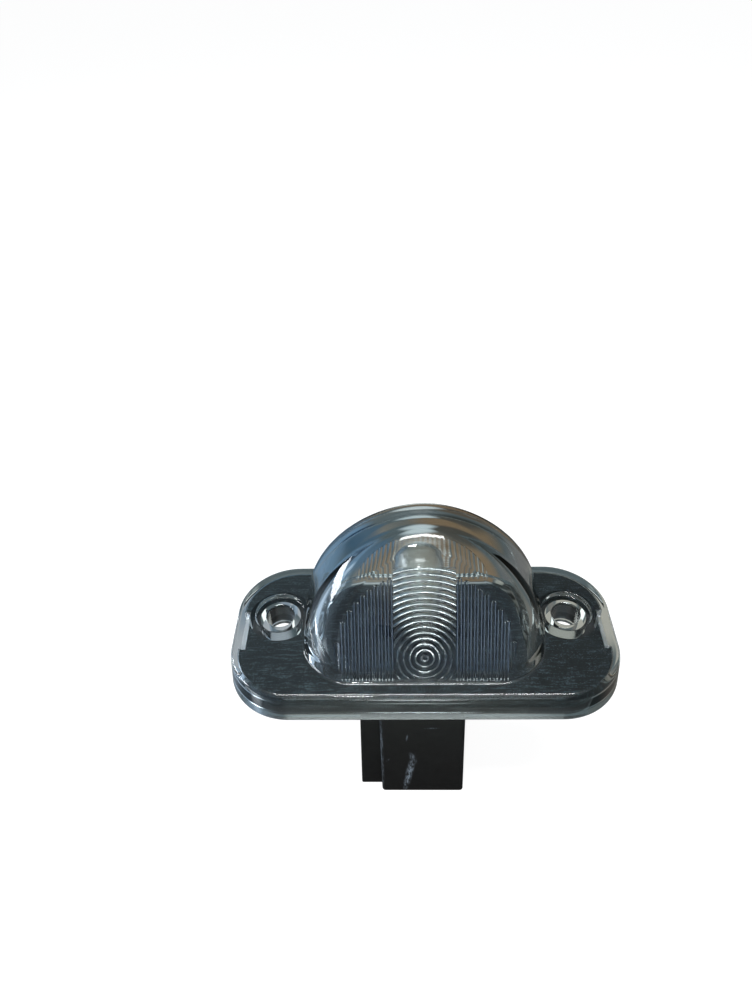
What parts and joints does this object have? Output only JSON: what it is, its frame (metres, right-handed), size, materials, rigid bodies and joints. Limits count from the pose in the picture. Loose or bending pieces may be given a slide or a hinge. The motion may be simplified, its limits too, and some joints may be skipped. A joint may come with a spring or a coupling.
{
  "type": "number plate lamp",
  "caption": "Clear domed lens on a rounded screw flange over a black base and gasket, with a wedge bulb and a plug socket box behind.",
  "frame": {"origin": "midway between the two screw holes, on the plane where the lamp meets the bodywork", "axes": "+X along the flange, +Y away from the dome's flat front face, +Z out of the bodywork towards the dome"},
  "size_m": [0.08, 0.036, 0.07],
  "materials": {
    "lens_clear": "clear moulded polycarbonate, polished outside, ribs and rings inside",
    "plate_black": "black moulded plastic with a fine streaky grain",
    "gasket_black": "dull black rubber",
    "holder_black": "black moulded plastic, scuffed",
    "contact_brass": "stamped sheet",
    "bulb_clear": "blown clear glass",
    "filament_tungsten": "drawn wire",
    "wire_nickel": "drawn wire"
  },
  "bodies": {
    "root": {"lens": "lens_clear", "base_plate": "plate_black", "gasket": "gasket_black", "bulb_holder": "holder_black", "contact_front": "contact_brass", "contact_back": "contact_brass", "bulb_glass": "bulb_clear", "filament": "filament_tungsten", "lead_wire_left": "wire_nickel", "lead_wire_right": "wire_nickel"}
  },
  "joints": []
}
